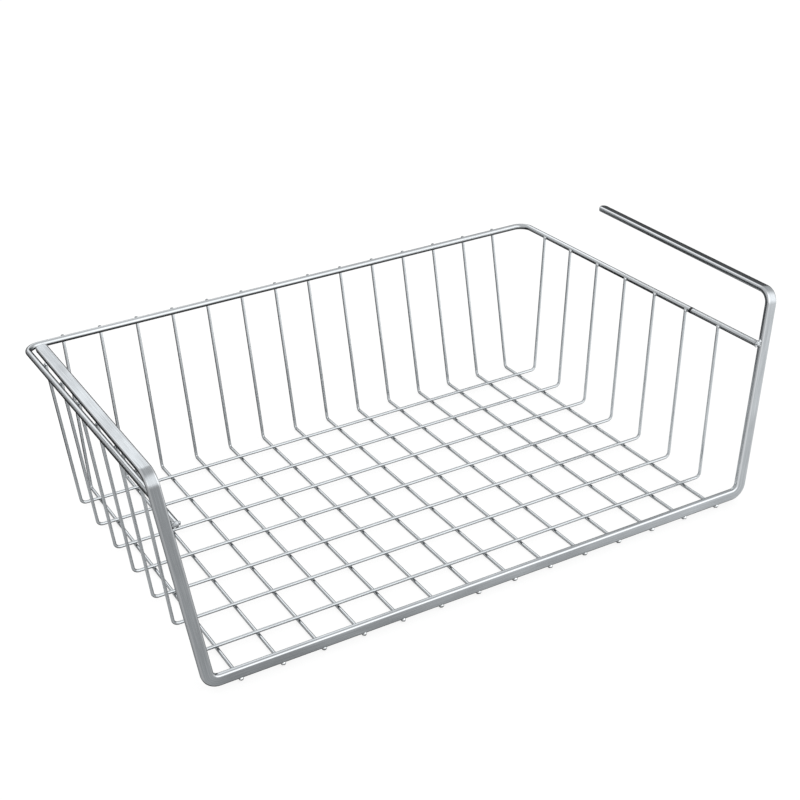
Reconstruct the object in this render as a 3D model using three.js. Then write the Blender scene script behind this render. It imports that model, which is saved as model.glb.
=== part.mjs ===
import * as THREE from 'three';

// Under-shelf wire basket, in millimetres, +Z up, front towards -Y
// Every piece is bent stock swept along its centre line. The pieces are welded where they meet, and
// weldGap is the slit that stands for each weld line.

// Stock
const meshWireDiameter = 2;
const rimWireDiameter = 4;
const barWidth = 7.1;
const barThickness = 3.7;
const barEdgeRadius = 1.3;
const weldGap = 0.25;

// Floor mesh: length wires run front to back, cross wires lie over them from side to side
const lengthWireCount = 14;
const lengthWirePitch = 24.75;
const crossWireCount = 7;
const crossWirePitch = 31.5;
const frontBarToCrossWire = 31.6;
const crossWireToBackWall = 19.7;
const lengthWireToSideWall = 12.8;
const lengthWireSetback = 1.8;

// Walls and rim
const backWallSlope = 0.152;
const rimFrontHeight = 106;
const rimBackDrop = 2;
const rimCornerRadius = 9;
const rimEndOverhang = 0.4;
const wireTipRise = 1.3;
const crossWireBendRadius = 4.2;
const lengthWireBendRadius = 3.2;

// Front frame: the distances between the bar's middles at the foot and at the top of the uprights
const uprightFootSpan = 357.6;
const uprightTopSpan = 392.8;
const armHeight = 136.9;
const armLength = 171;
const armRise = 2.1;
const armTipRadius = 2;
const footBendRadius = 7;
const armBendRadius = 7.5;

// Facets
const meshWireSides = 12;
const rimWireSides = 16;
const edgeSteps = 4;
const tipSteps = 5;
const bendStepDegrees = 12;

const steel = {
  bar: { color: 0xa9adb0, roughness: 0.38, metalness: 0.85 },
  rim: { color: 0xb2b6b9, roughness: 0.28, metalness: 0.9 },
  mesh: { color: 0xb0b3b6, roughness: 0.3, metalness: 0.9 },
};

const meshWireRadius = meshWireDiameter / 2;
const rimWireRadius = rimWireDiameter / 2;
const xAxis = new THREE.Vector3(1, 0, 0);
const yAxis = new THREE.Vector3(0, 1, 0);
const zAxis = new THREE.Vector3(0, 0, 1);

// Places that several pieces share
const lengthWireHeight = meshWireRadius;
const crossWireHeight = lengthWireHeight + meshWireDiameter + weldGap;
const frontBarHeight = meshWireDiameter + weldGap + barWidth / 2;
const frontBarY = -(frontBarToCrossWire + (crossWireCount - 1) * crossWirePitch + crossWireToBackWall) / 2;
const backWallFootY = -frontBarY;
const uprightSlope = (uprightTopSpan - uprightFootSpan) / 2 / (armHeight - frontBarHeight);
const uprightStretch = Math.hypot(1, uprightSlope);
const uprightX = (height) => uprightFootSpan / 2 + (height - frontBarHeight) * uprightSlope;
const rimX = uprightX(rimFrontHeight) - (barWidth / 2 + weldGap + rimWireRadius) * uprightStretch;
const rimToMeshWire = rimWireRadius + weldGap + meshWireRadius;
const rimBackHeight = rimFrontHeight - rimBackDrop;
const backWallY = (height) => backWallFootY + (height - lengthWireHeight) * backWallSlope;
const rimBackY = backWallY(rimBackHeight) - rimToMeshWire * Math.hypot(1, backWallSlope);
const rimHeight = (y) => rimFrontHeight - rimBackDrop * (y - frontBarY) / (rimBackY - frontBarY);
const lengthWireX = (index) => (index - (lengthWireCount - 1) / 2) * lengthWirePitch;
const crossWireY = (index) => frontBarY + frontBarToCrossWire + index * crossWirePitch;
const sideWallFootX = lengthWireX(lengthWireCount - 1) + lengthWireToSideWall;

// Round section, with a flat facet at the bottom and at each side
function roundSection(radius, sides) {
  const points = [];
  for (let i = 0; i < sides; i += 1) {
    const angle = (i + 1 / 2) / sides * 2 * Math.PI;
    points.push(new THREE.Vector2(Math.cos(angle), Math.sin(angle)).multiplyScalar(radius));
  }
  return points;
}

// Flat bar section, width along x and thickness along y, with rounded edges
function barSection(width, thickness, edgeRadius) {
  const points = [];
  const middles = [[1, 1], [-1, 1], [-1, -1], [1, -1]];
  middles.forEach(([sideX, sideY], corner) => {
    for (let i = 0; i <= edgeSteps; i += 1) {
      const angle = (corner + i / edgeSteps) * Math.PI / 2;
      points.push(new THREE.Vector2(
        sideX * (width / 2 - edgeRadius) + Math.cos(angle) * edgeRadius,
        sideY * (thickness / 2 - edgeRadius) + Math.sin(angle) * edgeRadius,
      ));
    }
  });
  return points;
}

// Stations of a centre line that is straight between its corners and bent round them
// side and up are the section's x and y directions. Each bend turns them with the stock, so it never twists.
function bentStations(corners, bendRadii, startSide) {
  const legs = corners.slice(1).map((corner, i) => corner.clone().sub(corners[i]).normalize());
  let side = startSide.clone().addScaledVector(legs[0], -startSide.dot(legs[0])).normalize();
  let up = legs[0].clone().cross(side);
  const stations = [{ point: corners[0].clone(), side, up, along: legs[0] }];
  bendRadii.forEach((radius, i) => {
    const before = legs[i];
    const after = legs[i + 1];
    const turn = before.angleTo(after);
    const axis = before.clone().cross(after).normalize();
    const start = corners[i + 1].clone().addScaledVector(before, -radius * Math.tan(turn / 2));
    const inward = axis.clone().cross(before);
    const centre = start.clone().addScaledVector(inward, radius);
    const steps = Math.ceil(THREE.MathUtils.radToDeg(turn) / bendStepDegrees);
    const [firstSide, firstUp] = [side, up];
    for (let k = 0; k <= steps; k += 1) {
      const angle = turn * k / steps;
      side = firstSide.clone().applyAxisAngle(axis, angle);
      up = firstUp.clone().applyAxisAngle(axis, angle);
      const spoke = inward.clone().multiplyScalar(-radius).applyAxisAngle(axis, angle);
      const along = before.clone().applyAxisAngle(axis, angle);
      stations.push({ point: centre.clone().add(spoke), side, up, along });
    }
  });
  stations.push({ point: corners[corners.length - 1].clone(), side, up, along: legs[legs.length - 1] });
  return stations;
}

// Splits the first and last stretch so that the section's width runs out in a rounded tip
function roundTips(stations, width, tipRadius) {
  const tip = (station, inwards) => {
    const places = [];
    for (let i = 0; i <= tipSteps; i += 1) {
      const angle = i / tipSteps * Math.PI / 2;
      const depth = tipRadius * (1 - Math.cos(angle));
      const cutBack = tipRadius * (1 - Math.sin(angle));
      const point = station.point.clone().addScaledVector(station.along, inwards * depth);
      places.push({ ...station, point, widthShare: 1 - 2 * cutBack / width });
    }
    return places;
  };
  const first = tip(stations[0], 1);
  const last = tip(stations[stations.length - 1], -1).reverse();
  return [...first, ...stations.slice(1, -1), ...last];
}

// Closed solid of a section carried through the stations, with flat ends
function sweep(section, stations) {
  const positions = [];
  const indices = [];
  const count = section.length;
  stations.forEach(({ point, side, up, widthShare = 1 }) => {
    section.forEach(({ x, y }) => {
      const place = point.clone().addScaledVector(side, x * widthShare).addScaledVector(up, y);
      positions.push(place.x, place.y, place.z);
    });
  });
  for (let ring = 0; ring < stations.length - 1; ring += 1) {
    for (let i = 0; i < count; i += 1) {
      const here = ring * count + i;
      const next = ring * count + (i + 1) % count;
      indices.push(here, next, next + count, here, next + count, here + count);
    }
  }
  const lastRing = (stations.length - 1) * count;
  for (let i = 1; i < count - 1; i += 1) {
    indices.push(0, i + 1, i, lastRing, lastRing + i, lastRing + i + 1);
  }
  const geometry = new THREE.BufferGeometry();
  geometry.setAttribute('position', new THREE.Float32BufferAttribute(positions, 3));
  geometry.setIndex(indices);
  geometry.computeVertexNormals();
  return geometry;
}

function makeMesh(name, geometry, finish) {
  const mesh = new THREE.Mesh(geometry, new THREE.MeshStandardMaterial(finish));
  mesh.name = name;
  return mesh;
}

// Corners of one half of a piece, and the same corners mirrored in the middle plane
const mirrored = (corner) => new THREE.Vector3(-corner.x, corner.y, corner.z);
const bothHalves = (corners) => [...corners.map(mirrored), ...corners.slice().reverse()];

// Flat bar: left arm, left upright, front lower edge, right upright, right arm
// The foot bends are made the hard way, over the bar's edge, and the arm bends over its flat.
// The bar never twists, so each arm is tilted sideways by its upright's lean.
function frontFrame() {
  const tipX = uprightTopSpan / 2 + armRise * uprightSlope;
  const tip = new THREE.Vector3(tipX, frontBarY + armLength, armHeight + armRise);
  const top = new THREE.Vector3(uprightTopSpan / 2, frontBarY, armHeight);
  const foot = new THREE.Vector3(uprightFootSpan / 2, frontBarY, frontBarHeight);
  const corners = bothHalves([tip, top, foot]);
  const acrossUpright = new THREE.Vector3(1, 0, uprightSlope);
  const bends = [armBendRadius, footBendRadius, footBendRadius, armBendRadius];
  const stations = bentStations(corners, bends, acrossUpright);
  const section = barSection(barWidth, barThickness, barEdgeRadius);
  return makeMesh('front_frame', sweep(section, roundTips(stations, barWidth, armTipRadius)), steel.bar);
}

// Rim hoop, with its open ends against the inner edges of the uprights
function rimWire() {
  const endY = frontBarY - barThickness / 2 - rimEndOverhang;
  const end = new THREE.Vector3(rimX, endY, rimHeight(endY));
  const corner = new THREE.Vector3(rimX, rimBackY, rimBackHeight);
  const stations = bentStations(bothHalves([end, corner]), [rimCornerRadius, rimCornerRadius], xAxis);
  return makeMesh('rim_wire', sweep(roundSection(rimWireRadius, rimWireSides), stations), steel.rim);
}

// Side-to-side wire, bent up at both ends to stand inside the rim
function crossWire(index) {
  const y = crossWireY(index);
  const foot = new THREE.Vector3(sideWallFootX, y, crossWireHeight);
  const height = rimHeight(y);
  const run = rimX - sideWallFootX;
  const rise = height - crossWireHeight;
  const inset = rimToMeshWire * Math.hypot(run, rise) / rise;
  const contact = new THREE.Vector3(rimX - inset, y, height);
  const wall = contact.clone().sub(foot).normalize();
  const tip = contact.addScaledVector(wall, wireTipRise);
  const stations = bentStations(bothHalves([tip, foot]), [crossWireBendRadius, crossWireBendRadius], yAxis);
  const section = roundSection(meshWireRadius, meshWireSides);
  return makeMesh(`cross_wire_${index + 1}`, sweep(section, stations), steel.mesh);
}

// Front-to-back wire, welded under the front bar and bent up at the back to stand outside the rim
// Its front end is set back from the bar's front face.
function lengthWire(index) {
  const x = lengthWireX(index);
  const front = new THREE.Vector3(x, frontBarY - barThickness / 2 + lengthWireSetback, lengthWireHeight);
  const foot = new THREE.Vector3(x, backWallFootY, lengthWireHeight);
  const contact = new THREE.Vector3(x, backWallY(rimBackHeight), rimBackHeight);
  const wall = contact.clone().sub(foot).normalize();
  const tip = contact.addScaledVector(wall, wireTipRise);
  const stations = bentStations([front, foot, tip], [lengthWireBendRadius], zAxis);
  const section = roundSection(meshWireRadius, meshWireSides);
  return makeMesh(`length_wire_${index + 1}`, sweep(section, stations), steel.mesh);
}

const basket = new THREE.Group();
basket.add(frontFrame(), rimWire());
for (let i = 0; i < crossWireCount; i += 1) {
  basket.add(crossWire(i));
}
for (let i = 0; i < lengthWireCount; i += 1) {
  basket.add(lengthWire(i));
}

// The basket stands on its length wires, with the middle of its plan at the origin
const box = new THREE.Box3().setFromObject(basket);
const middle = box.getCenter(new THREE.Vector3());
basket.position.set(-middle.x, -middle.y, -box.min.z);

export default basket;
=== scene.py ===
"""Looks of an under-shelf wire basket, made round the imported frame.

The basket is bent steel stock, welded together. So each piece is a section carried along a bent centre line,
and each weld is a small closed surface. Lengths are in metres and in the frame's own axes: +X to the right of
the open front, +Y to the back and +Z up. Angles are in degrees where a name says so, and else in radians.
"""

import logging
import math
from dataclasses import dataclass
from enum import Enum
from typing import Any, Iterable, Iterator, Sequence

import bpy
import numpy as np
from mathutils import Matrix, Vector

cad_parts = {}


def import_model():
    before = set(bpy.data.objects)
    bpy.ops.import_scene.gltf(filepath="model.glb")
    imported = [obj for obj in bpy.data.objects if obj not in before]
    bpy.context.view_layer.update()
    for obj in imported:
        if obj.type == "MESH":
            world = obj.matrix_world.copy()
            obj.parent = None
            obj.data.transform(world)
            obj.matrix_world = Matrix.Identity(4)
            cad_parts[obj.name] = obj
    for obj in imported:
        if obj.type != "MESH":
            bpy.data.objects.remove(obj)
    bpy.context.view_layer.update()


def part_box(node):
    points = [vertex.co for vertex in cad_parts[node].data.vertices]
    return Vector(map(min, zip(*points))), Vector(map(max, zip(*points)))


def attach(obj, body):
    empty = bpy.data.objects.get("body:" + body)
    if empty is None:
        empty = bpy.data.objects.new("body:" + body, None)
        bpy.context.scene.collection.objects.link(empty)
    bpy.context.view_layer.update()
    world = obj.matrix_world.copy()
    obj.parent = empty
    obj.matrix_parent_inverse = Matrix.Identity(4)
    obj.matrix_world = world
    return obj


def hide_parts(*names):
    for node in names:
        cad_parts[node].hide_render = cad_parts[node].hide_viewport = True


LOG = logging.getLogger("basket")
Array = np.ndarray
Colour = tuple[float, float, float]
Triple = tuple[float, float, float]
Span = tuple[float, float]
X_AXIS = np.array([1.0, 0.0, 0.0])
Y_AXIS = np.array([0.0, 1.0, 0.0])
Z_AXIS = np.array([0.0, 0.0, 1.0])
MIRROR = np.array([-1.0, 1.0, 1.0])
GRAIN_MAP = "grain"
POLISH_AND_HIGHLIGHT_ATTRIBUTE = "polish_and_highlight"


class Slot(Enum):
    """The record's material slots."""

    BAR = "bar_steel"
    RIM = "rim_steel"
    WIRE = "wire_steel"


def unit(vectors: Array) -> Array:
    """Each vector divided by its length."""
    return vectors / np.linalg.norm(vectors, axis=-1, keepdims=True)


def places(x: Any, y: Any, z: Any) -> Array:
    """One row for each place, where a single coordinate holds for all of them."""
    return np.stack(np.broadcast_arrays(x, y, z), axis=-1).reshape(-1, 3)


def on_both_sides(right: Array) -> Array:
    """The rows of the basket's right side, and before them their mirror images."""
    return np.concatenate([right * MIRROR, right])


def from_left_to_right(right: Sequence[Any]) -> Array:
    """A whole line's corners, from those of its right half, which begin at its right end."""
    corners = np.array(right, float)
    return np.concatenate([corners * MIRROR, corners[::-1]])


def distances(points: Array) -> Array:
    """Each point's distance from the first, along the line through them."""
    return np.concatenate([[0.0], np.cumsum(np.linalg.norm(np.diff(points, axis=0), axis=1))])


def turned(vector: Array, axis: Array, angles: Array) -> Array:
    """A vector turned about an axis by each of several angles.

    The part across the axis turns in its own plane, and the part along the axis stays.

    Args:
        vector: The vector, with 3 numbers.
        axis: The unit axis.
        angles: Angles in radians.

    Returns:
        One vector for each angle.
    """
    cos, sin = np.cos(angles)[:, None], np.sin(angles)[:, None]
    return vector * cos + np.cross(axis, vector) * sin + axis * (axis @ vector) * (1 - cos)


@dataclass(frozen=True)
class Plan:
    """The basket's driving sizes, and the places that its pieces share. Heights are of centre lines."""

    front_bar_y: float
    mesh_wire: float = 0.002
    rim_wire: float = 0.004
    bar_width: float = 0.0071
    bar_thickness: float = 0.0037
    weld_gap: float = 0.00025
    length_wire_count: int = 14
    length_wire_pitch: float = 0.02475
    cross_wire_count: int = 7
    cross_wire_pitch: float = 0.0315
    bar_to_cross_wire: float = 0.0316
    cross_wire_to_back: float = 0.0197
    length_wire_to_side: float = 0.0128
    back_slope: float = 0.152
    rim_front_height: float = 0.106
    rim_back_drop: float = 0.002
    rim_end_overhang: float = 0.0004
    foot_span: float = 0.3576
    top_span: float = 0.3928
    arm_height: float = 0.1369
    tip_rise: float = 0.0013

    @property
    def length_wire_height(self) -> float:
        """Length wires lie on the ground."""
        return self.mesh_wire / 2

    @property
    def cross_wire_height(self) -> float:
        """Cross wires lie on the length wires."""
        return self.length_wire_height + self.mesh_wire + self.weld_gap

    @property
    def bar_height(self) -> float:
        """The front bar stands on edge on the length wires."""
        return self.mesh_wire + self.weld_gap + self.bar_width / 2

    @property
    def upright_slope(self) -> float:
        """How far an upright leans out for each metre of its height."""
        return (self.top_span - self.foot_span) / 2 / (self.arm_height - self.bar_height)

    @property
    def rim_x(self) -> float:
        """The rim lies against the inner edges of the uprights.

        Returns:
            Where its right side is.
        """
        upright = self.foot_span / 2 + (self.rim_front_height - self.bar_height) * self.upright_slope
        beside = self.bar_width / 2 + self.weld_gap + self.rim_wire / 2
        return upright - beside * math.hypot(1, self.upright_slope)

    @property
    def rim_to_wire(self) -> float:
        """Distance between the centre lines of the rim and a wire welded to it."""
        return self.rim_wire / 2 + self.weld_gap + self.mesh_wire / 2

    @property
    def rim_back_height(self) -> float:
        """Height of the rim along the back."""
        return self.rim_front_height - self.rim_back_drop

    @property
    def bar_face_y(self) -> float:
        """Where the front bar's front face stands."""
        return self.front_bar_y - self.bar_thickness / 2

    @property
    def rim_end_y(self) -> float:
        """The rim's ends stand out a little in front of the bar."""
        return self.bar_face_y - self.rim_end_overhang

    @property
    def length_wire_x(self) -> Array:
        """Length wires are evenly spread about the middle."""
        return (np.arange(self.length_wire_count) - (self.length_wire_count - 1) / 2) * self.length_wire_pitch

    @property
    def cross_wire_y(self) -> Array:
        """Cross wires are evenly spread behind the front bar."""
        steps = np.arange(self.cross_wire_count) * self.cross_wire_pitch
        return self.front_bar_y + self.bar_to_cross_wire + steps

    @property
    def back_foot_y(self) -> float:
        """Where the back wall's lines meet the floor."""
        return float(self.cross_wire_y[-1]) + self.cross_wire_to_back

    @property
    def side_foot_x(self) -> float:
        """Where the right wall's lines meet the floor."""
        return float(self.length_wire_x[-1]) + self.length_wire_to_side

    @property
    def rim_back_y(self) -> float:
        """The rim lies inside the back wall."""
        wall = self.back_wall_y(self.rim_back_height)
        return wall - self.rim_to_wire * math.hypot(1, self.back_slope)

    @property
    def side_rim_contacts(self) -> Array:
        """Where the cross wires' centre lines pass the rim's.

        Returns:
            A place for each wire, on the right.
        """
        height = self.rim_height(self.cross_wire_y)
        rise = height - self.cross_wire_height
        lean = np.hypot(self.rim_x - self.side_foot_x, rise) / rise
        return places(self.rim_x - self.rim_to_wire * lean, self.cross_wire_y, height)

    @property
    def back_rim_contacts(self) -> Array:
        """Where the length wires' centre lines pass the rim's."""
        return places(self.length_wire_x, self.back_wall_y(self.rim_back_height), self.rim_back_height)

    def back_wall_y(self, height: float) -> float:
        """Where the back wall stands at a height."""
        return self.back_foot_y + (height - self.length_wire_height) * self.back_slope

    def rim_height(self, y: Any) -> Any:
        """The rim falls evenly from the uprights to the back."""
        share = (y - self.front_bar_y) / (self.rim_back_y - self.front_bar_y)
        return self.rim_front_height - self.rim_back_drop * share


@dataclass(frozen=True)
class CentreLine:
    """Stations along bent stock: where each is, which way it faces and how far its outline draws in.

    The rows of a station's frame point across the stock's width, across its thickness and along it.
    """

    points: Array
    frames: Array
    draw_in: Array

    @classmethod
    def through(
        cls, corners: Array, radii: Sequence[float], first_side: Array, step: float, bend_degrees: float
    ) -> "CentreLine":
        """Straight between the corners and on an arc round each inner one, without any twist.

        Args:
            corners: The line's two ends and the corners between them, as if they were sharp.
            radii: One bend radius for each inner corner.
            first_side: Roughly where the section's width points at the first end.
            step: The longest distance between stations on a straight run.
            bend_degrees: The widest turn between stations in a bend.

        Returns:
            The stations from the first corner to the last.
        """
        legs = unit(np.diff(corners, axis=0))
        side = unit(first_side - legs[0] * (first_side @ legs[0]))
        frame = np.stack([side, np.cross(legs[0], side), legs[0]])
        points, frames = [corners[:1]], [frame[None]]

        def run_to(end: Array) -> None:
            """Adds even stations in a straight run.

            Args:
                end: The run's end, which the next block holds.
            """
            start = points[-1][-1]
            count = int(np.linalg.norm(end - start) / step)
            shares = np.linspace(0, 1, count + 2)[1:-1, None]
            points.append(start + (end - start) * shares)
            frames.append(np.repeat(frame[None], count, axis=0))

        for corner, radius, before, after in zip(corners[1:], radii, legs, legs[1:]):
            turn = math.acos(float(np.clip(before @ after, -1, 1)))
            axis = unit(np.cross(before, after))
            inward = np.cross(axis, before) * radius
            start = corner - before * radius * math.tan(turn / 2)
            run_to(start)
            angles = np.linspace(0, turn, math.ceil(math.degrees(turn) / bend_degrees) + 1)
            points.append(start + inward - turned(inward, axis, angles))
            frames.append(np.stack([turned(row, axis, angles) for row in frame], axis=1))
            frame = frames[-1][-1]
        run_to(corners[-1])
        stations = np.concatenate([*points, corners[-1:]])
        return cls(stations, np.concatenate([*frames, frame[None]]), np.zeros(len(stations)))

    def with_worn_ends(self, radius: float, steps: int) -> "CentreLine":
        """The same line with both ends rounded off by a quarter circle.

        At a depth of r(1 - cos a) the outline draws in by r(1 - sin a), with a from 0 to 90 degrees.

        Args:
            radius: The quarter circle's radius.
            steps: How many stations each end gains.

        Returns:
            A line with more stations.
        """
        angles = np.linspace(0, math.pi / 2, steps + 1)
        depth, inset = radius * (1 - np.cos(angles)), radius * (1 - np.sin(angles))
        first = self.points[0] + self.frames[0, 2] * depth[:, None]
        last = self.points[-1] - self.frames[-1, 2] * depth[::-1, None]
        repeats = np.ones(len(self.points), int)
        repeats[[0, -1]] = steps + 1
        return CentreLine(
            np.concatenate([first, self.points[1:-1], last]), np.repeat(self.frames, repeats, axis=0),
            np.concatenate([inset, self.draw_in[1:-1], inset[::-1]]),
        )


@dataclass(frozen=True)
class Section:
    """A closed outline, anticlockwise: x is across the stock's width and y across its thickness.

    At a worn end each of the two draws in by its own share.
    """

    outline: Array
    polish_and_highlight: Array
    draw_in_shares: Span = (1.0, 1.0)

    @classmethod
    def circle(cls, diameter: float, sides: int) -> "Section":
        """Round stock: (r cos a, r sin a), unpolished."""
        angles = np.arange(sides) / sides * math.tau
        return cls(np.stack([np.cos(angles), np.sin(angles)], axis=1) * diameter / 2, np.zeros(sides))

    def at(self, draw_in: Array) -> Array:
        """The outline at each station, narrowed evenly so that its widest points draw in by that much."""
        scale = 1 - draw_in[:, None] * np.array(self.draw_in_shares) / np.abs(self.outline).max(axis=0)
        return self.outline[None] * scale[:, None, :]


@dataclass
class Shape:
    """Surfaces through stacked rings, each with a cap on its first and its last ring.

    The grid holds points by surface, ring and spot round the ring. The polished share, which also lightens
    the colour as a painted highlight, has a number for each spot. along says how far along the stock each
    ring lies, and girth how far round it each spot lies, and the first one once more.
    """

    grid: Array
    polish_and_highlight: Any = 0.0
    along: Any = 0.0
    girth: Any = 0.0

    def piece(self, name: str) -> bpy.types.Object:
        """Makes the object: quads are smooth, caps are flat, and (along, girth) is the UV map of its grain.

        Args:
            name: The piece's name.

        Returns:
            An object at the origin.
        """
        count, rings, sides = self.grid.shape[:3]
        surface, ring, spot = np.meshgrid(*map(np.arange, (count, rings - 1, sides)), indexing="ij")
        row = (surface * rings + ring) * sides
        here, beside = row + spot, row + (spot + 1) % sides
        quads = np.stack([here, beside, beside + sides, here + sides], axis=-1).reshape(-1, 4)
        numbers = np.arange(count * rings * sides).reshape(count, rings, sides)
        caps = numbers[:, 0, ::-1].tolist() + numbers[:, -1].tolist()
        mesh = bpy.data.meshes.new(name)
        mesh.from_pydata(self.grid.reshape(-1, 3).tolist(), [], quads.tolist() + caps)
        mesh.polygons.foreach_set("use_smooth", np.arange(len(mesh.polygons)) < len(quads))
        along, girth = np.broadcast_to(self.along, rings), np.broadcast_to(self.girth, sides + 1)
        corners = ((ring, spot), (ring, spot + 1), (ring + 1, spot + 1), (ring + 1, spot))
        flat = np.stack([np.stack([along[r], girth[s]], axis=-1) for r, s in corners], axis=-2)
        flat_places = np.zeros((len(mesh.loops), 2), np.float32)
        flat_places[:quads.size] = flat.reshape(-1, 2)
        mesh.uv_layers.new(name=GRAIN_MAP).data.foreach_set("uv", flat_places.ravel())
        polish_and_highlight = np.broadcast_to(self.polish_and_highlight, numbers.shape).ravel()
        attribute = mesh.attributes.new(POLISH_AND_HIGHLIGHT_ATTRIBUTE, "FLOAT", "POINT")
        attribute.data.foreach_set("value", polish_and_highlight.astype(np.float32))
        mesh.update()
        piece = bpy.data.objects.new(name, mesh)
        bpy.context.scene.collection.objects.link(piece)
        return piece


def swept(section: Section, line: CentreLine) -> Shape:
    """A section carried along a centre line, as one closed solid.

    Each point is the station plus x times its first direction plus y times its second one, where (x, y) is
    the outline there.

    Args:
        section: The stock's outline.
        line: The stations.

    Returns:
        The solid.
    """
    outline = section.at(line.draw_in)
    across, up = line.frames[:, None, 0], line.frames[:, None, 1]
    grid = line.points[:, None] + (across * outline[..., :1] + up * outline[..., 1:])
    girth = distances(np.concatenate([section.outline, section.outline[:1]]))
    return Shape(grid[None], section.polish_and_highlight, distances(line.points), girth)


class Graph:
    """A short way to write a node tree."""

    def __init__(self, owner: Any) -> None:
        """Starts an empty tree.

        Args:
            owner: The material or the world that has it.
        """
        owner.use_nodes = True
        self.tree = owner.node_tree
        self.tree.nodes.clear()

    def add(self, kind: str, *values: Any, settings: dict[str, Any] | None = None, **inputs: Any) -> Any:
        """Adds a node.

        Args:
            kind: The node's type, without its ShaderNode prefix.
            values: Values or sockets for its first inputs.
            settings: Properties of the node itself.
            inputs: Values or sockets for inputs by name, with _ for a space.

        Returns:
            The node's outputs.
        """
        node = self.tree.nodes.new("ShaderNode" + kind)
        for key, value in (settings or {}).items():
            setattr(node, key, value)
        named = [(node.inputs[key.replace("_", " ")], value) for key, value in inputs.items()]
        for socket, value in [*zip(node.inputs, values), *named]:
            self.feed(socket, value)
        return node.outputs

    def feed(self, socket: Any, value: Any) -> None:
        """Links a socket, or sets its value.

        Args:
            socket: A node's input.
            value: Another node's output, or a value. A colour's alpha is 1.
        """
        if isinstance(value, bpy.types.NodeSocket):
            self.tree.links.new(value, socket)
        else:
            socket.default_value = (*value, 1.0) if socket.type == "RGBA" else value

    def maths(self, operation: str, *values: Any) -> Any:
        """The result of a Math node on its values."""
        return self.add("Math", *values, settings={"operation": operation})[0]

    def along(self, vector: Any, axis: Triple) -> Any:
        """How far a vector reaches along an axis."""
        return self.add("VectorMath", vector, axis, settings={"operation": "DOT_PRODUCT"})["Value"]

    def ranged(self, value: Any, span: Span, to_low: float = 0.0, to_high: float = 1.0) -> Any:
        """Maps a value smoothly from a span to another one, and holds it at the ends.

        Args:
            value: The value.
            span: Its own span.
            to_low: What the span's first number becomes.
            to_high: What its second number becomes.

        Returns:
            The new value.
        """
        settings = {"interpolation_type": "SMOOTHSTEP"}
        return self.add("MapRange", value, *span, to_low, to_high, settings=settings)["Result"]

    def mixed(self, share: Any, first: Any, second: Any) -> Any:
        """Mixes two colours.

        Args:
            share: 0 for the first one, 1 for the second.
            first: A colour.
            second: Another colour.

        Returns:
            The mixture.
        """
        node = self.tree.nodes.new("ShaderNodeMix")
        node.data_type = "RGBA"
        sockets = {socket.identifier: socket for socket in (*node.inputs, *node.outputs)}
        for name, value in (("Factor_Float", share), ("A_Color", first), ("B_Color", second)):
            self.feed(sockets[name], value)
        return sockets["Result_Color"]


@dataclass(frozen=True, kw_only=True)
class Steel:
    """Plated metal of two tones, which painted shade makes darker where it faces down.

    Its colour is multiplied by the painted underside shade where its normal's height is below the underside
    span.
    """

    name: str
    colour: Colour
    dark_colour: Colour
    underside_painted_shade: float
    underside_span: Span
    tone_span: Span
    roughness: float
    edge_tint: float
    bump_strength: float
    bump_depth: float

    def material(self) -> bpy.types.Material:
        """Builds the finish.

        Returns:
            A new material.
        """
        made = bpy.data.materials.new(self.name)
        self.paint(Graph(made))
        return made

    def paint(self, graph: Graph) -> None:
        """Fills the finish's node tree."""
        raise NotImplementedError

    def toned(self, graph: Graph, tone: Any) -> Any:
        """The dark colour below the tone span, and the light one above it."""
        return graph.mixed(graph.ranged(tone, self.tone_span), self.dark_colour, self.colour)

    def metal(self, graph: Graph, colour: Any, shade: Any, rough: Any, height: Any, **more: Any) -> None:
        """Ends the tree in bumpy metal.

        Args:
            graph: The finish's tree.
            colour: The metal's colour.
            shade: The painted shade that the colour is multiplied by.
            rough: Its roughness.
            height: The height of its bumps.
            more: Further inputs of the shader.
        """
        base = graph.add("VectorMath", settings={"operation": "SCALE"}, Vector=colour, Scale=shade)["Vector"]
        bump = graph.add("Bump", Height=height, Strength=self.bump_strength, Distance=self.bump_depth)
        shader = graph.add(
            "BsdfPrincipled", Base_Color=base, Metallic=1.0, Roughness=rough,
            Specular_Tint=(self.edge_tint,) * 3, Normal=bump["Normal"], **more,
        )
        graph.add("OutputMaterial", Surface=shader["BSDF"])


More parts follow.
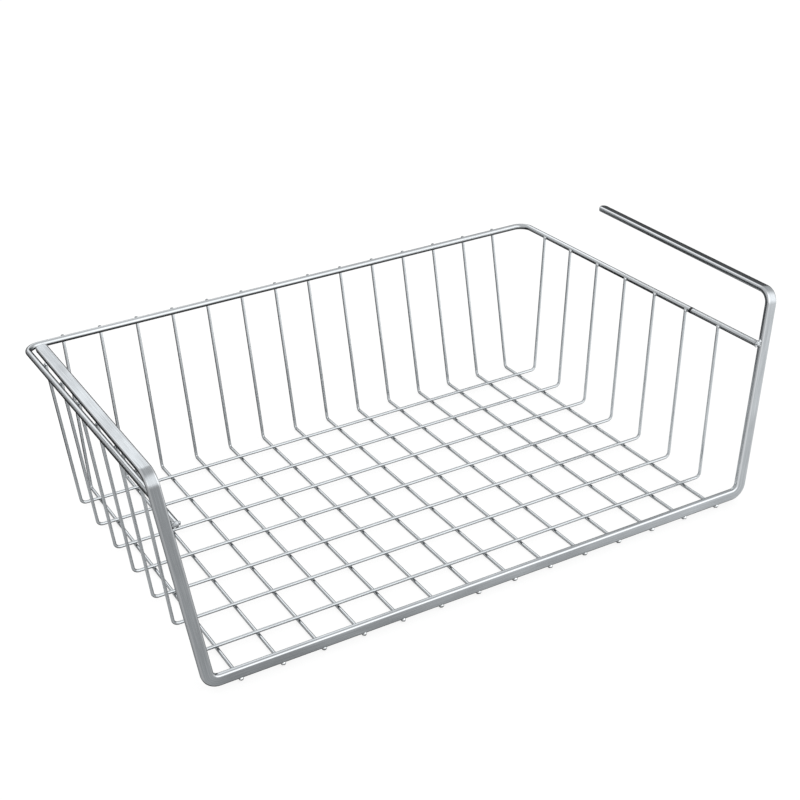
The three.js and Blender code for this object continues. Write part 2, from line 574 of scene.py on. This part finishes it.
@dataclass(frozen=True, kw_only=True)
class DrawnSteel(Steel):
    """Satin steel with fine streaks that were drawn along the stock, and soft blotches in its plating.

    Streaks follow the piece's grain map: long along the stock and very short round it. Blotches follow the
    object's coordinates. Polished edges are smoother, and lighter by a painted highlight. Painted shade makes
    upright surfaces darker than those that face up, and undersides darkest. Close to the ground the painted
    shade begins higher up, as a painted contact shadow.
    """

    # The painted shade: upright sets it on upright surfaces, and the spans and the shift follow the normal's
    # height.
    upright: float
    streaks_along: float
    streaks_round: float
    streak_detail: float = 3.0
    streak_roughness: float = 0.6
    streak_share: float = 0.6
    blotches: float = 28.0
    blotch_detail: float = 2.0
    tone_span: Span = (0.35, 0.65)
    underside_span: Span = (-0.4, -0.12)
    upright_span: Span = (0.03, 0.35)
    ground_span: Span = (0.0012, 0.0022)
    ground_shadow_shift: float = 0.0
    roughness_spread: float = 0.03
    # Polished edges take this lighter colour: a painted highlight.
    polished_highlight_colour: Colour = (0.63, 0.65, 0.67)
    polished_roughness: float = 0.15
    anisotropy: float = 0.2
    bump_strength: float = 0.35
    bump_depth: float = 0.00001

    def paint(self, graph: Graph) -> None:
        """Fills the finish's node tree.

        Args:
            graph: The empty tree.
        """
        place = graph.add("TexCoord")
        grain = graph.add("UVMap", settings={"uv_map": GRAIN_MAP})["UV"]
        drawn = graph.add("Mapping", Vector=grain, Scale=(self.streaks_along, self.streaks_round, 1.0))
        streak = graph.add(
            "TexNoise", Vector=drawn["Vector"], Scale=1.0, Detail=self.streak_detail,
            Roughness=self.streak_roughness,
        )["Fac"]
        blotch = graph.add(
            "TexNoise", Vector=place["Object"], Scale=self.blotches, Detail=self.blotch_detail
        )["Fac"]
        streaky = graph.maths("MULTIPLY", streak, self.streak_share)
        tone = graph.maths("MULTIPLY_ADD", blotch, 1 - self.streak_share, streaky)
        # The polished share lightens the colour, a painted highlight, and smooths the roughness below.
        polish_and_highlight = graph.add("Attribute", settings={"attribute_name": POLISH_AND_HIGHLIGHT_ATTRIBUTE})["Fac"]
        colour = graph.mixed(polish_and_highlight, self.toned(graph, tone), self.polished_highlight_colour)
        # Painted shade: the colour is darkened where the normal faces sideways or down, and near the ground
        # the darkening begins higher up as a painted contact shadow.
        facing = graph.add("SeparateXYZ", place["Normal"])["Z"]
        height = graph.add("SeparateXYZ", place["Object"])["Z"]
        shift = graph.ranged(height, self.ground_span, self.ground_shadow_shift, 0.0)
        facing = graph.maths("SUBTRACT", facing, shift)
        shade = graph.maths(
            "ADD", graph.ranged(facing, self.underside_span, self.underside_painted_shade, self.upright),
            graph.ranged(facing, self.upright_span, 0.0, 1 - self.upright),
        )
        smooth = graph.ranged(graph.ranged(tone, self.tone_span), (0.0, 1.0), 0.0, 2 * self.roughness_spread)
        rough = graph.maths("SUBTRACT", self.roughness + self.roughness_spread, smooth)
        smoother = graph.maths("SUBTRACT", self.polished_roughness, rough)
        rough = graph.maths("MULTIPLY_ADD", smoother, polish_and_highlight, rough)
        tangent = graph.add("Tangent", settings={"direction_type": "UV_MAP", "uv_map": GRAIN_MAP})["Tangent"]
        self.metal(graph, colour, shade, rough, streak, Anisotropic=self.anisotropy, Tangent=tangent)


@dataclass(frozen=True, kw_only=True)
class WeldSteel(Steel):
    """Plated weld metal: lumpy and rougher in its hollows, which painted shade makes darker."""

    underside_painted_shade: float = 0.3
    underside_span: Span = (-0.4, 0.25)
    tone_span: Span = (0.35, 0.6)
    edge_tint: float = 0.3
    lumps: float = 1400.0
    lump_detail: float = 3.0
    lump_span: Span = (0.3, 0.7)
    hollow_roughness: float = 0.1
    crest_smoothness: float = 0.06
    bump_strength: float = 0.6

    def paint(self, graph: Graph) -> None:
        """Fills the finish's node tree.

        Args:
            graph: The empty tree.
        """
        place = graph.add("TexCoord")
        lump = graph.add("TexNoise", Vector=place["Object"], Scale=self.lumps, Detail=self.lump_detail)["Fac"]
        facing = graph.add("SeparateXYZ", place["Normal"])["Z"]
        shade = graph.ranged(facing, self.underside_span, self.underside_painted_shade, 1.0)
        hollow, crest = self.roughness + self.hollow_roughness, self.roughness - self.crest_smoothness
        rough = graph.ranged(lump, self.lump_span, hollow, crest)
        # The lumps' low parts take the dark colour: painted shade in the hollows.
        self.metal(graph, self.toned(graph, lump), shade, rough, lump)


@dataclass(frozen=True)
class Finishes:
    """The basket's finishes."""

    # The numbers that darken faces turned down or upright are painted shade, and the wire's shift near the
    # ground is a painted contact shadow.
    bar: Steel = DrawnSteel(
        name="satin_bar_steel", colour=(0.53, 0.56, 0.583), dark_colour=(0.39, 0.411, 0.429), underside_painted_shade=0.12,
        upright=0.64, roughness=0.21, edge_tint=0.45, streaks_along=40.0, streaks_round=1800.0,
        anisotropy=0.4, bump_depth=0.00002,
    )
    rim: Steel = DrawnSteel(
        name="bright_rim_steel", colour=(0.6, 0.625, 0.645), dark_colour=(0.52, 0.543, 0.56), underside_painted_shade=0.1,
        underside_span=(-0.15, 0.03), upright=0.45, roughness=0.17, edge_tint=0.35, streaks_along=80.0,
        streaks_round=5000.0,
    )
    wire: Steel = DrawnSteel(
        name="bright_wire_steel", colour=(0.57, 0.6, 0.62), dark_colour=(0.49, 0.515, 0.535), underside_painted_shade=0.15,
        upright=0.72, ground_shadow_shift=0.28, roughness=0.18, edge_tint=0.6, streaks_along=90.0,
        streaks_round=6000.0,
    )
    weld: Steel = WeldSteel(
        name="plated_weld_steel", colour=(0.54, 0.565, 0.585), dark_colour=(0.27, 0.285, 0.298),
        roughness=0.28, bump_depth=0.0001,
    )
    # A near-black copy of the weld steel: painted shade in the crevice of the rim's joint.
    seam: Steel = WeldSteel(
        name="seam_steel_painted_shade", colour=(0.09, 0.094, 0.098), dark_colour=(0.03, 0.031, 0.033), roughness=0.4,
        bump_depth=0.00005,
    )
    # A lighter copy of the weld steel: a painted highlight on the small beads.
    bead: Steel = WeldSteel(
        name="bead_steel_painted_highlight", colour=(0.8, 0.825, 0.84), dark_colour=(0.66, 0.68, 0.695), underside_painted_shade=0.2,
        roughness=0.24, edge_tint=0.1, lumps=900.0, bump_depth=0.00003,
    )


def fitted(piece: bpy.types.Object, finish: Steel, slot: Slot, nodes: Iterable[str] = ()) -> None:
    """Dresses a piece, lets it ride on the one rigid body and hides the frame's nodes that it replaces.

    Args:
        piece: The new piece.
        finish: Its finish.
        slot: The record's slot that the finish belongs to. It is not used.
        nodes: The frame's nodes that it replaces.
    """
    piece.data.materials.append(bpy.data.materials.get(finish.name) or finish.material())
    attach(piece, "root")
    for node in nodes:
        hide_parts(node)
    LOG.info("%s: %d vertices", piece.name, len(piece.data.vertices))


@dataclass
class FrontFrame:
    """The flat bar, bent in one piece: the front lower edge, and on both sides an upright and an arm."""

    plan: Plan
    finish: Steel
    arm_length: float = 0.171
    arm_rise: float = 0.0021
    tip_radius: float = 0.002
    foot_bend: float = 0.007
    arm_bend: float = 0.0075
    edge_radius: float = 0.0013
    crown: float = 0.00004
    station_step: float = 0.006
    bend_degrees: float = 3.0
    corner_steps: int = 6
    face_steps: int = 6
    tip_steps: int = 10
    polish_and_highlight_power: float = 1.5

    def section(self) -> Section:
        """The bar's outline: four quarter circles, joined by two narrow flats and two slightly crowned faces.

        A crowned face falls away from its middle by crown times the square of its share of the half width.
        The rolls polished the quarter circles, by a power of the sine of the angle from the narrow flat, and
        not the faces; the same share lightens them as a painted highlight. The bar's ends draw in across its
        width only.

        Returns:
            The outline, whose lower half is the upper one turned round.
        """
        half, top = self.plan.bar_width / 2 - self.edge_radius, self.plan.bar_thickness / 2
        quarter = np.linspace(0, math.pi / 2, self.corner_steps + 1)
        arc = self.edge_radius * np.stack([np.cos(quarter), np.sin(quarter)], axis=1)
        arc += [half, top - self.crown - self.edge_radius]
        across = np.linspace(1, -1, self.face_steps + 1)[1:-1]
        face = np.stack([across * half, top - self.crown * across**2], axis=1)
        upper = np.concatenate([arc, face, arc[::-1] * [-1, 1]])
        shine = np.where(quarter < math.pi / 2, np.sin(quarter) ** self.polish_and_highlight_power, 0)
        polish_and_highlight = np.concatenate([shine, np.zeros(len(face)), shine[::-1]])
        return Section(np.concatenate([upper, -upper]), np.tile(polish_and_highlight, 2), draw_in_shares=(1.0, 0.0))

    def build(self) -> None:
        """Makes the bar, whose foot bends go over its edge and arm bends over its face."""
        plan = self.plan
        tip_x = plan.top_span / 2 + self.arm_rise * plan.upright_slope
        tip = [tip_x, plan.front_bar_y + self.arm_length, plan.arm_height + self.arm_rise]
        top = [plan.top_span / 2, plan.front_bar_y, plan.arm_height]
        foot = [plan.foot_span / 2, plan.front_bar_y, plan.bar_height]
        bends = (self.arm_bend, self.foot_bend, self.foot_bend, self.arm_bend)
        line = CentreLine.through(
            from_left_to_right([tip, top, foot]), bends, np.array([1, 0, plan.upright_slope]),
            self.station_step, self.bend_degrees,
        )
        shape = swept(self.section(), line.with_worn_ends(self.tip_radius, self.tip_steps))
        fitted(shape.piece("front_bar"), self.finish, Slot.BAR, ["front_frame"])


@dataclass
class RimHoop:
    """The thick round wire round the top, open at the front."""

    plan: Plan
    finish: Steel
    corner_radius: float = 0.009
    end_radius: float = 0.0004
    end_steps: int = 4
    end_setback: float = 0.0009
    station_step: float = 0.004
    bend_degrees: float = 4.0
    sides: int = 32

    def build(self) -> None:
        """Makes the hoop, from the left upright round the back to the right one."""
        plan = self.plan
        end_y = plan.rim_end_y + self.end_setback
        end = [plan.rim_x, end_y, plan.rim_height(end_y)]
        corner = [plan.rim_x, plan.rim_back_y, plan.rim_back_height]
        line = CentreLine.through(
            from_left_to_right([end, corner]), (self.corner_radius,) * 2, X_AXIS, self.station_step,
            self.bend_degrees,
        )
        section = Section.circle(plan.rim_wire, self.sides)
        shape = swept(section, line.with_worn_ends(self.end_radius, self.end_steps))
        fitted(shape.piece("rim_hoop"), self.finish, Slot.RIM, ["rim_wire"])


@dataclass
class MeshWires:
    """The thin wires. Seven go across the floor and up the sides, and fourteen go to the back and up it."""

    plan: Plan
    finish: Steel
    setback: float = 0.0018
    cross_bend: float = 0.0034
    length_bend: float = 0.0022
    cut_radius: float = 0.0003
    cut_steps: int = 3
    station_step: float = 0.008
    bend_degrees: float = 6.0
    sides: int = 20

    def cross_corners(self) -> Iterator[Array]:
        """The cross wires go up the left wall, across the floor and up the right wall.

        Yields:
            The corners of each wire, from the front.
        """
        plan = self.plan
        for contact in plan.side_rim_contacts:
            foot = np.array([plan.side_foot_x, contact[1], plan.cross_wire_height])
            yield from_left_to_right([contact + unit(contact - foot) * plan.tip_rise, foot])

    def length_corners(self) -> Iterator[Array]:
        """The length wires go from under the front bar to the back and up the back wall.

        Yields:
            The corners of each wire, from the left.
        """
        plan = self.plan
        for contact in plan.back_rim_contacts:
            front = [contact[0], plan.bar_face_y + self.setback, plan.length_wire_height]
            foot = [contact[0], plan.back_foot_y, plan.length_wire_height]
            yield np.array([front, foot, contact + unit(contact - foot) * plan.tip_rise])

    def build(self) -> None:
        """Makes every thin wire as its own piece."""
        section = Section.circle(self.plan.mesh_wire, self.sides)
        for name, node, bend, first_side, wires in (
            ("side_to_side_wire", "cross_wire", self.cross_bend, Y_AXIS, self.cross_corners()),
            ("front_to_back_wire", "length_wire", self.length_bend, Z_AXIS, self.length_corners()),
        ):
            for number, corners in enumerate(wires, start=1):
                bends = (bend,) * (len(corners) - 2)
                line = CentreLine.through(corners, bends, first_side, self.station_step, self.bend_degrees)
                shape = swept(section, line.with_worn_ends(self.cut_radius, self.cut_steps))
                fitted(shape.piece(f"{name}_{number}"), self.finish, Slot.WIRE, [f"{node}_{number}"])


@dataclass(frozen=True)
class Bead:
    """A ball of weld metal: how far it lies from its seat, and its half sizes."""

    shift: Triple
    half_size: Triple


@dataclass
class Welds:
    """Fillets of squeezed-out metal where the pieces cross, and beads at the ends of the wires."""

    plan: Plan
    finish: Steel
    bead_highlight_finish: Steel
    seam_shade_finish: Steel
    spread_share: float = 0.75
    waist_share: float = 0.22
    uneven_share: float = 0.1
    levels: int = 5
    sides: int = 14
    bead_levels: int = 9
    bead_pole: float = 0.2
    bead_uneven_share: float = 0.2
    nugget_half_size: Triple = (0.0014, 0.0013, 0.0014)
    nugget_height: float = 0.0021
    nugget_setback: float = 0.0009
    tip_bead: Bead = Bead((0.0, 0.0, 0.0004), (0.0011, 0.0013, 0.0013))
    end_beads: tuple[Bead, ...] = (
        Bead((0.0004, 0.0, 0.0), (0.0028, 0.0012, 0.0023)),
        Bead((-0.0013, -0.0002, 0.0008), (0.0011, 0.001, 0.0012)),
        Bead((0.0019, 0.0, 0.0013), (0.0013, 0.001, 0.0015)),
    )
    bright_end_beads: tuple[Bead, ...] = (
        Bead((-0.0014, -0.0002, -0.0009), (0.0009, 0.0011, 0.0008)),
        Bead((0.0012, -0.0003, -0.0013), (0.0008, 0.001, 0.0007)),
    )
    end_bead_setback: float = 0.0014
    seam_index: int = 1
    seam_shift: float = -0.0037
    seam_length: float = 0.0021
    seam_proud: float = 0.0001
    seam_steps: int = 3
    seed: int = 7

    def fillets(
        self, centres: Array, lower: Array, upper: Array, over: Array, lower_radius: float,
        upper_radius: float,
    ) -> Shape:
        """Fillets between crossing round pieces, all of them at once.

        A fillet's outline is an oval round the line that joins the two pieces. At its foot it lies on the
        lower piece, at the height sqrt(r^2 - y^2) over that piece's axis, and at its top on the upper one.
        Between them its height goes evenly from one to the other, and it draws in to a waist.

        Args:
            centres: The middles between the pieces.
            lower: The lower piece's unit direction, or one for each crossing.
            upper: The upper piece's.
            over: The one from the lower piece to the upper one.
            lower_radius: Half of the lower piece's thickness.
            upper_radius: Half of the upper one's.

        Returns:
            One closed surface for each crossing.
        """
        rng = np.random.default_rng(self.seed)
        count = len(centres)
        spread = self.spread_share * min(lower_radius, upper_radius)
        size = spread * (1 + self.uneven_share * rng.uniform(-1, 1, (count, 1, 1)))
        angle = np.arange(self.sides) / self.sides * math.tau
        level = np.linspace(0, 1, self.levels)[:, None]
        waist = 1 - self.waist_share * 4 * level * (1 - level)
        ragged = 1 + self.uneven_share * np.sin(2 * angle + rng.uniform(0, math.tau, (count, 1, 1)))
        x = size * np.cos(angle) * waist * ragged
        y = size * np.sin(angle) * waist * ragged
        half_gap = self.plan.weld_gap / 2
        foot = -lower_radius - half_gap + np.sqrt(lower_radius**2 - y**2)
        head = upper_radius + half_gap - np.sqrt(upper_radius**2 - x**2)
        z = foot * (1 - level) + head * level
        grid = centres[:, None, None]
        for axis, reach in ((lower, x), (upper, y), (over, z)):
            grid = grid + np.atleast_2d(axis)[:, None, None] * reach[..., None]
        return Shape(grid)

    def beads(self, centres: Array, half_sizes: Sequence[Triple]) -> Shape:
        """Lumpy balls of weld metal, all of them at once.

        A ball's point is (a sin u cos v, b sin u sin v, -c cos u), and the sum of two sine waves in u and v
        draws it in by up to the uneven share.

        Args:
            centres: The balls' middles.
            half_sizes: Half sizes a, b and c along X, Y and Z, for each ball or for all.

        Returns:
            One closed surface for each middle.
        """
        rng = np.random.default_rng(self.seed)
        first, second = rng.uniform(0, math.tau, (2, len(centres), 1, 1))
        u = np.linspace(self.bead_pole, math.pi - self.bead_pole, self.bead_levels)[:, None]
        v = np.arange(self.sides) / self.sides * math.tau
        wave = (np.sin(2 * v + first) * np.sin(u) + np.sin(3 * u + v + second)) / 2
        reach = 1 - self.bead_uneven_share * (1 + wave) / 2
        rows = np.broadcast_arrays(np.sin(u) * np.cos(v), np.sin(u) * np.sin(v), -np.cos(u))
        ball = np.stack(rows, axis=-1) * reach[..., None]
        return Shape(centres[:, None, None] + ball * np.array(half_sizes)[:, None, None])

    def on_length_wires(self, y: Any, upper_radius: float) -> Shape:
        """Fillets on the length wires, under pieces that lie across them at y."""
        centres = places(self.plan.length_wire_x, y, self.plan.mesh_wire + self.plan.weld_gap / 2)
        return self.fillets(centres, Y_AXIS, -X_AXIS, Z_AXIS, self.plan.mesh_wire / 2, upper_radius)

    def behind_rim(self) -> Shape:
        """Fillets between the rim and the length wires."""
        wall = unit(np.array([0, self.plan.back_slope, 1.0]))
        return self.on_rim(self.plan.back_rim_contacts, X_AXIS, wall, np.cross(wall, X_AXIS))

    def inside_rim(self) -> Shape:
        """Fillets between the rim and the cross wires.

        Returns:
            The fillets, on both sides.
        """
        plan = self.plan
        foot = [plan.side_foot_x, 0, plan.cross_wire_height]
        right = unit((plan.side_rim_contacts - foot) * [1, 0, 1])
        wall, over = on_both_sides(right), on_both_sides(np.cross(right, Y_AXIS))
        return self.on_rim(on_both_sides(plan.side_rim_contacts), np.cross(wall, over), wall, over)

    def on_rim(self, contacts: Array, rim: Array, wall: Array, over: Array) -> Shape:
        """Fillets between the rim and thin wires.

        Args:
            contacts: Where the wires' centre lines pass the rim's.
            rim: The rim's direction.
            wall: The wires' direction.
            over: The direction from the rim to the wires.

        Returns:
            The fillets.
        """
        plan = self.plan
        centres = contacts - over * (plan.mesh_wire + plan.weld_gap) / 2
        return self.fillets(centres, rim, wall, over, plan.rim_wire / 2, plan.mesh_wire / 2)

    def nuggets(self) -> Shape:
        """Nuggets on the length wires' ends, at the front bar's lower front edge."""
        y = self.plan.bar_face_y + self.nugget_setback
        return self.beads(places(self.plan.length_wire_x, y, self.nugget_height), [self.nugget_half_size])

    def side_tips(self) -> Shape:
        """Beads where the cross wires' tips are squashed on to the rim."""
        centres = on_both_sides(self.plan.side_rim_contacts + self.tip_bead.shift)
        return self.beads(centres, [self.tip_bead.half_size])

    def at_rim_ends(self, beads: tuple[Bead, ...]) -> Shape:
        """Beads on the rim's two ends.

        Args:
            beads: The beads of the right end.

        Returns:
            The beads of both ends.
        """
        y = self.plan.rim_end_y + self.end_bead_setback
        end = [self.plan.rim_x, y, self.plan.rim_height(y)]
        centres = np.add(end, [bead.shift for bead in beads])
        return self.beads(on_both_sides(centres), [bead.half_size for bead in beads] * 2)

    def butt_seam(self) -> Shape:
        """The ring where the rim's stock was joined.

        Returns:
            The ring, on the right in front of a cross wire.
        """
        plan = self.plan
        y = plan.cross_wire_y[self.seam_index] + self.seam_shift + np.array([0, self.seam_length])
        ends = places(plan.rim_x, y, plan.rim_height(y))
        line = CentreLine.through(ends, (), X_AXIS, self.seam_length, bend_degrees=1.0)
        section = Section.circle(plan.rim_wire + self.seam_proud, self.sides * 2)
        return swept(section, line.with_worn_ends(self.seam_proud, self.seam_steps))

    def build(self) -> None:
        """Makes each kind of weld as one piece."""
        # The beads' lighter finish is a painted highlight.
        plan, weld, bead = self.plan, self.finish, self.bead_highlight_finish
        on_floor = self.on_length_wires(plan.cross_wire_y[:, None], plan.mesh_wire / 2)
        under_bar = self.on_length_wires(plan.front_bar_y, plan.bar_thickness / 2)
        for name, shape, finish, slot in (
            ("floor_welds", on_floor, weld, Slot.WIRE),
            ("front_bar_welds", under_bar, weld, Slot.BAR),
            ("back_rim_welds", self.behind_rim(), weld, Slot.RIM),
            ("side_rim_welds", self.inside_rim(), weld, Slot.RIM),
            ("wire_end_nuggets", self.nuggets(), bead, Slot.BAR),
            ("rim_end_beads", self.at_rim_ends(self.end_beads), weld, Slot.RIM),
            ("side_tip_beads", self.side_tips(), bead, Slot.RIM),
            ("bright_rim_end_beads", self.at_rim_ends(self.bright_end_beads), bead, Slot.RIM),
            # The seam's near-black finish is painted shade in the joint's crevice.
            ("rim_butt_seam", self.butt_seam(), self.seam_shade_finish, Slot.RIM),
        ):
            fitted(shape.piece(name), finish, slot)


@dataclass(frozen=True)
class PhotoCamera:
    """The camera that took the photograph, worked out from the basket's edges.

    Pixel values are in the photograph, with y down.
    """

    azimuth_degrees: float = -28.433
    elevation_degrees: float = 25.368
    roll_degrees: float = -2.549
    slide: float = 0.010755
    lift: float = 0.088785
    distance: float = 0.99647
    aim: Triple = (0.0, -0.00086, 0.00097)
    photo_pixels: float = 800.0
    focal_pixels: float = 1554.08
    centre_x_pixels: float = 407.0
    centre_y_pixels: float = 354.1
    sensor_width: float = 36.0
    clip_end: float = 200.0

    def build(self) -> None:
        """Makes the camera and gives it to the scene."""
        angles = (self.azimuth_degrees, self.elevation_degrees, self.roll_degrees)
        azimuth, elevation, roll = map(math.radians, angles)
        level = Vector((math.cos(azimuth), math.sin(azimuth), 0))
        outward = Vector((math.sin(azimuth), -math.cos(azimuth), 0))
        back = math.cos(elevation) * outward + Vector((0, 0, math.sin(elevation)))
        upright = back.cross(level)
        right = math.cos(roll) * level + math.sin(roll) * upright
        up = -math.sin(roll) * level + math.cos(roll) * upright
        place = Vector(self.aim) + self.distance * back + self.slide * right + self.lift * up
        data = bpy.data.cameras.new("photo_camera")
        data.sensor_width = self.sensor_width
        data.lens = self.focal_pixels / self.photo_pixels * self.sensor_width
        data.shift_x = (self.photo_pixels / 2 - self.centre_x_pixels) / self.photo_pixels
        data.shift_y = (self.centre_y_pixels - self.photo_pixels / 2) / self.photo_pixels
        data.clip_end = self.clip_end
        camera = bpy.data.objects.new("photo_camera", data)
        bpy.context.scene.collection.objects.link(camera)
        camera.matrix_world = Matrix.Translation(place) @ Matrix((right, up, back)).transposed().to_4x4()
        bpy.context.scene.camera = camera


@dataclass(frozen=True)
class Glow:
    """A soft round patch of light in the room, which fades from its core to its edge."""

    toward: Triple
    edge_degrees: float
    core_degrees: float
    strength: float


@dataclass
class Studio:
    """A plain pale floor in a softly lit room.

    Both look white to the camera. What they give the metal is uneven: the floor has a painted dim band of
    shade behind the basket and a painted glow that grows towards the right, and the room is darker below its
    horizon, which tilts down to the left and the front.
    """

    floor_size: float = 120.0
    floor_colour: Colour = (0.9, 0.9, 0.9)
    seen_floor_colour: Colour = (0.25, 0.25, 0.25)
    seen_floor_lift: float = 0.8
    painted_floor_glow: float = 0.85
    bright_floor_span: Span = (-0.23, 0.35)
    painted_shade_floor_colour: Colour = (0.09, 0.09, 0.09)
    dim_floor_span: Span = (0.09, 0.14)
    left_dim_shift: float = 0.07
    left_dim_span: Span = (-0.26, -0.2)
    far_floor_toward: Triple = (1.2, 1.0, 0.0)
    far_floor_span: Span = (0.3, 0.4)
    near_floor_painted_shadow: float = 0.35
    near_floor_span: Span = (0.001, 0.005)
    horizon: float = 0.1
    ceiling: float = 0.77
    horizon_span: Span = (-0.06, 0.06)
    rise: Triple = (-0.25, -0.3, 1.0)
    glows: tuple[Glow, ...] = (
        Glow(toward=(0.12, 0.825, 0.545), edge_degrees=25.0, core_degrees=10.0, strength=1.0),
        Glow(toward=(0.4, -0.9, 0.15), edge_degrees=67.0, core_degrees=30.0, strength=1.05),
    )

    def build(self) -> None:
        """Makes the floor and the room's light."""
        self.make_floor()
        self.make_room()
        bpy.context.scene.view_settings.view_transform = "Standard"

    def make_floor(self) -> None:
        """A flat square."""
        half = self.floor_size / 2
        mesh = bpy.data.meshes.new("floor")
        corners = [(-half, -half, 0), (half, -half, 0), (half, half, 0), (-half, half, 0)]
        mesh.from_pydata(corners, [], [(0, 1, 2, 3)])
        mesh.materials.append(self.floor_finish())
        floor = bpy.data.objects.new("floor", mesh)
        bpy.context.scene.collection.objects.link(floor)

    def floor_finish(self) -> bpy.types.Material:
        """Pale paint that gives a little light of its own.

        The camera sees the paint dark and lifted to white, so the shadow on it stays faint. The metal sees
        it lifted more and more towards the right, a painted glow. It sees a dim band of painted shade behind
        the basket, which begins sooner on the left and ends to the right, and it sees the floor dim where
        that is close to it, a painted contact shadow.

        Returns:
            The floor's material.
        """
        made = bpy.data.materials.new("pale_floor")
        graph = Graph(made)
        path = graph.add("LightPath")
        spot = graph.add("TexCoord")["Object"]
        place = graph.add("SeparateXYZ", spot)
        in_metal = graph.maths("MAXIMUM", path["Is Glossy Ray"], path["Is Transmission Ray"])
        # Painted shade on the floor, seen only by the metal: a dim band behind the basket, and a painted
        # contact shadow where the floor is close.
        shift = graph.ranged(place["X"], self.left_dim_span, self.left_dim_shift, 0.0)
        band = graph.ranged(graph.maths("ADD", place["Y"], shift), self.dim_floor_span)
        far = graph.along(spot, self.far_floor_toward)
        band = graph.maths("MULTIPLY", band, graph.ranged(far, self.far_floor_span, 1.0, 0.0))
        near = graph.ranged(path["Ray Length"], self.near_floor_span, self.near_floor_painted_shadow, 0.0)
        dim = graph.maths("MULTIPLY", in_metal, graph.maths("MAXIMUM", band, near))
        colour = graph.mixed(dim, self.floor_colour, self.painted_shade_floor_colour)
        colour = graph.mixed(path["Is Camera Ray"], colour, self.seen_floor_colour)
        paint = graph.add("BsdfDiffuse", Color=colour)["BSDF"]
        # Painted light on the floor, seen only by the metal: a glow that grows towards the right.
        lit = graph.ranged(place["X"], self.bright_floor_span, 0.0, self.painted_floor_glow)
        lit = graph.maths("MULTIPLY", graph.maths("SUBTRACT", in_metal, dim), lit)
        lift = graph.maths("MULTIPLY_ADD", path["Is Camera Ray"], self.seen_floor_lift, lit)
        light = graph.add("Emission", Strength=lift)["Emission"]
        graph.add("OutputMaterial", Surface=graph.add("AddShader", paint, light)["Shader"])
        return made

    def make_room(self) -> None:
        """The room's light: dark below the horizon, and pale above it with soft glows."""
        world = bpy.data.worlds.new("room")
        bpy.context.scene.world = world
        graph = Graph(world)
        direction = graph.add("TexCoord")["Generated"]
        over_horizon = graph.ranged(graph.along(direction, self.rise), self.horizon_span)
        gain = self.ceiling - self.horizon
        for glow in self.glows:
            toward = graph.along(direction, Vector(glow.toward).normalized())
            span = (math.cos(math.radians(glow.edge_degrees)), math.cos(math.radians(glow.core_degrees)))
            gain = graph.maths("ADD", gain, graph.ranged(toward, span, 0.0, glow.strength))
        strength = graph.maths("MULTIPLY_ADD", over_horizon, gain, self.horizon)
        seen = graph.add("LightPath")["Is Camera Ray"]
        unseen = graph.maths("MULTIPLY", strength, graph.maths("SUBTRACT", 1.0, seen))
        light = graph.add("Background", Color=(1.0, 1.0, 1.0), Strength=graph.maths("ADD", seen, unseen))
        graph.add("OutputWorld", Surface=light["Background"])


def main() -> None:
    """Loads the frame, and makes the camera, the studio and the basket."""
    logging.basicConfig(level=logging.INFO, format="%(name)s: %(message)s")
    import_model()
    PhotoCamera().build()
    Studio().build()
    finishes = Finishes()
    plan = Plan(front_bar_y=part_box("front_frame")[0].y + Plan.bar_thickness / 2)
    FrontFrame(plan, finishes.bar).build()
    RimHoop(plan, finishes.rim).build()
    MeshWires(plan, finishes.wire).build()
    Welds(plan, finishes.weld, finishes.bead, finishes.seam).build()


if __name__ == "__main__":
    main()
